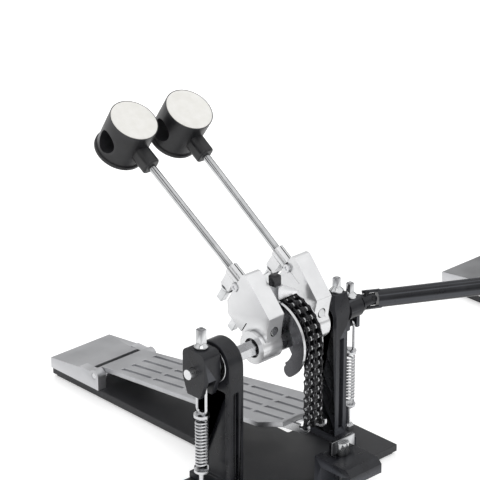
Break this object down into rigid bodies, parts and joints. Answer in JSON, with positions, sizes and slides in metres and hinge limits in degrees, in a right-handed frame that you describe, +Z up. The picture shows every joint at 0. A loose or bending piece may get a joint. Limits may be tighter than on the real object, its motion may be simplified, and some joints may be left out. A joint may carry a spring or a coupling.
{
  "type": "double bass drum pedal",
  "caption": "Double bass drum pedal with chain and cam drive, leaning beaters, return springs, hoop clamp and a jointed drive shaft to a companion footboard.",
  "frame": {"origin": "on the floor under the main shaft, at the middle of the main chain", "axes": "+X along the shaft towards the companion unit, +Y from the drum to the player, +Z up"},
  "size_m": [0.6767, 0.5228, 0.3497],
  "materials": {
    "black_cast": "satin black powder coat",
    "black_plate": "satin black paint",
    "black_shell": "satin black moulded plastic",
    "pale_face": "matt off-white plastic",
    "black_lining": "matt black",
    "black_screw": "black oxide",
    "polished_cast": "polished casting",
    "satin_cast": "satin casting",
    "cam_plate": "dark satin casting with bright edges",
    "chrome": "polished chrome plate",
    "steel": "bright turned steel",
    "black_chain": "black oxide with worn bright edges",
    "rubber": "ribbed black rubber"
  },
  "bodies": {
    "frame": {"main_base_plate": "black_plate", "second_base_plate": "black_plate", "grip_pads": "rubber", "heel_plates": "satin_cast", "heel_pins": "steel", "right_upright": "black_cast", "left_upright": "black_cast", "left_upright_bolt": "chrome", "second_uprights": "black_cast", "bearings": "steel", "base_screws": "black_screw", "spring_tensioners": "steel", "right_spring": "steel", "left_spring": "steel"},
    "hoop_jaw": {"hoop_jaw": "black_cast"},
    "hoop_screw": {"hoop_screw": "chrome"},
    "main_shaft": {"main_shaft": "steel", "right_rocker": "black_cast", "right_clamp_bolts": "chrome", "right_beater_hub": "polished_cast", "right_rod_clamp": "polished_cast", "right_beater_rod": "chrome", "right_beater_shell": "black_shell", "right_beater_face": "pale_face", "main_cam": "cam_plate", "main_cam_lining": "black_lining", "main_cam_bolts": "black_screw", "main_chain_wrap": "black_chain"},
    "left_shaft": {"left_shaft": "steel", "left_rocker": "black_cast", "left_clamp_bolts": "chrome", "left_beater_hub": "polished_cast", "left_rod_clamp": "polished_cast", "left_beater_rod": "chrome", "left_beater_shell": "black_shell", "left_beater_face": "pale_face", "drive_fork": "black_cast"},
    "right_stirrup": {"right_stirrup": "steel"},
    "left_stirrup": {"left_stirrup": "steel"},
    "near_drive_cross": {"near_drive_cross": "black_screw"},
    "far_drive_cross": {"far_drive_cross": "black_screw"},
    "drive": {"drive_tube": "black_cast", "drive_tube_bolt": "chrome", "drive_bar": "steel"},
    "second_shaft": {"second_shaft": "steel", "second_cam": "cam_plate", "second_cam_lining": "black_lining", "second_chain_wrap": "black_chain"},
    "main_chain_link_a": {"main_chain_link_a": "black_chain"},
    "main_chain_link_b": {"main_chain_link_b": "black_chain"},
    "main_chain_link_c": {"main_chain_link_c": "black_chain"},
    "main_chain_drop": {"main_chain_drop": "black_chain"},
    "main_footboard": {"main_footboard": "satin_cast", "main_toe_clevis": "steel"},
    "second_chain_link_a": {"second_chain_link_a": "black_chain"},
    "second_chain_link_b": {"second_chain_link_b": "black_chain"},
    "second_chain_link_c": {"second_chain_link_c": "black_chain"},
    "second_chain_drop": {"second_chain_drop": "black_chain"},
    "second_footboard": {"second_footboard": "satin_cast", "second_toe_clevis": "steel"}
  },
  "joints": [
    {"name": "hoop_jaw_slide", "type": "slide", "parent": "frame", "child": "hoop_jaw", "axis": [0, 0, 1], "range_m": [0, 0.01]},
    {"name": "hoop_screw_turn", "type": "hinge", "parent": "hoop_jaw", "child": "hoop_screw", "pos_m": [0, -0.08, 0.046], "axis": [0, 0, 1], "range_deg": [-180, 180]},
    {"name": "main_stroke", "type": "hinge", "parent": "frame", "child": "main_shaft", "pos_m": [0, 0, 0.15], "axis": [1, 0, 0], "range_deg": [0, 49], "stiffness_Nm_per_rad": 2, "springref_deg": -11.46},
    {"name": "left_stroke", "type": "hinge", "parent": "frame", "child": "left_shaft", "pos_m": [0, 0, 0.15], "axis": [1, 0, 0], "range_deg": [0, 49], "stiffness_Nm_per_rad": 2, "springref_deg": -11.46},
    {"name": "main_chain_link_a_turn", "type": "hinge", "parent": "main_shaft", "child": "main_chain_link_a", "pos_m": [0, -0.02904, 0.17615], "axis": [1, 0, 0], "range_deg": [-14, 0]},
    {"name": "main_chain_link_b_turn", "type": "hinge", "parent": "main_chain_link_a", "child": "main_chain_link_b", "pos_m": [0, -0.0345, 0.16835], "axis": [1, 0, 0], "range_deg": [-14, 0]},
    {"name": "main_chain_link_c_turn", "type": "hinge", "parent": "main_chain_link_b", "child": "main_chain_link_c", "pos_m": [0, -0.03792, 0.15945], "axis": [1, 0, 0], "range_deg": [-14, 0]},
    {"name": "main_chain_drop_turn", "type": "hinge", "parent": "main_chain_link_c", "child": "main_chain_drop", "pos_m": [0, -0.03908, 0.15], "axis": [1, 0, 0], "range_deg": [-7, 0]},
    {"name": "main_footboard_hinge", "type": "hinge", "parent": "frame", "child": "main_footboard", "pos_m": [0, 0.25, 0.026], "axis": [1, 0, 0], "range_deg": [0, 6.6]},
    {"name": "second_chain_link_a_turn", "type": "hinge", "parent": "second_shaft", "child": "second_chain_link_a", "pos_m": [0.47768, -0.16988, 0.17615], "axis": [1, 0, 0], "range_deg": [-14, 0]},
    {"name": "second_chain_link_b_turn", "type": "hinge", "parent": "second_chain_link_a", "child": "second_chain_link_b", "pos_m": [0.47768, -0.17535, 0.16835], "axis": [1, 0, 0], "range_deg": [-14, 0]},
    {"name": "second_chain_link_c_turn", "type": "hinge", "parent": "second_chain_link_b", "child": "second_chain_link_c", "pos_m": [0.47768, -0.17876, 0.15945], "axis": [1, 0, 0], "range_deg": [-14, 0]},
    {"name": "second_chain_drop_turn", "type": "hinge", "parent": "second_chain_link_c", "child": "second_chain_drop", "pos_m": [0.47768, -0.17992, 0.15], "axis": [1, 0, 0], "range_deg": [-7, 0]},
    {"name": "second_footboard_hinge", "type": "hinge", "parent": "frame", "child": "second_footboard", "pos_m": [0.47768, 0.10916, 0.026], "axis": [1, 0, 0], "range_deg": [0, 6.6]},
    {"name": "right_stirrup_swing", "type": "hinge", "parent": "frame", "child": "right_stirrup", "pos_m": [-0.1145, 0.0586, 0.0213], "axis": [1, 0, 0], "range_deg": [-7.3, 0], "deforming": ["right_spring"]},
    {"name": "left_stirrup_swing", "type": "hinge", "parent": "frame", "child": "left_stirrup", "pos_m": [0.091, 0.0586, 0.0213], "axis": [1, 0, 0], "range_deg": [-7.3, 0], "deforming": ["left_spring"]},
    {"name": "near_cross_swing", "type": "hinge", "parent": "left_shaft", "child": "near_drive_cross", "pos_m": [0.1168, 0, 0.15], "axis": [0, 0.91, -0.4147], "range_deg": [-24.97, 0]},
    {"name": "drive_turn", "type": "hinge", "parent": "frame", "child": "drive", "pos_m": [0.1168, 0, 0.15], "axis": [0.8829, -0.4695, 0], "range_deg": [0, 54.7]},
    {"name": "second_shaft_turn", "type": "hinge", "parent": "frame", "child": "second_shaft", "pos_m": [0.38168, -0.14084, 0.15], "axis": [1, 0, 0], "range_deg": [0, 49]},
    {"name": "far_cross_swing", "type": "hinge", "parent": "second_shaft", "child": "far_drive_cross", "pos_m": [0.38168, -0.14084, 0.15], "axis": [0, 0.91, -0.4147], "range_deg": [-24.97, 0]}
  ],
  "couplings": [
    {"joint": "main_chain_link_a_turn", "follows": "main_stroke", "ratio": -0.28571},
    {"joint": "main_chain_link_b_turn", "follows": "main_stroke", "ratio": -0.28571},
    {"joint": "main_chain_link_c_turn", "follows": "main_stroke", "ratio": -0.28571},
    {"joint": "main_chain_drop_turn", "follows": "main_stroke", "ratio": -0.14286},
    {"joint": "main_footboard_hinge", "follows": "main_stroke", "ratio": 0.13408},
    {"joint": "second_chain_link_a_turn", "follows": "left_stroke", "ratio": -0.28571},
    {"joint": "second_chain_link_b_turn", "follows": "left_stroke", "ratio": -0.28571},
    {"joint": "second_chain_link_c_turn", "follows": "left_stroke", "ratio": -0.28571},
    {"joint": "second_chain_drop_turn", "follows": "left_stroke", "ratio": -0.14286},
    {"joint": "second_footboard_hinge", "follows": "left_stroke", "ratio": 0.13408},
    {"joint": "right_stirrup_swing", "follows": "main_stroke", "ratio": -0.14816},
    {"joint": "left_stirrup_swing", "follows": "left_stroke", "ratio": -0.14816},
    {"joint": "near_cross_swing", "follows": "left_stroke", "ratio": -0.50755},
    {"joint": "drive_turn", "follows": "left_stroke", "ratio": 1.1143},
    {"joint": "second_shaft_turn", "follows": "left_stroke", "ratio": 1},
    {"joint": "far_cross_swing", "follows": "left_stroke", "ratio": -0.50755}
  ]
}
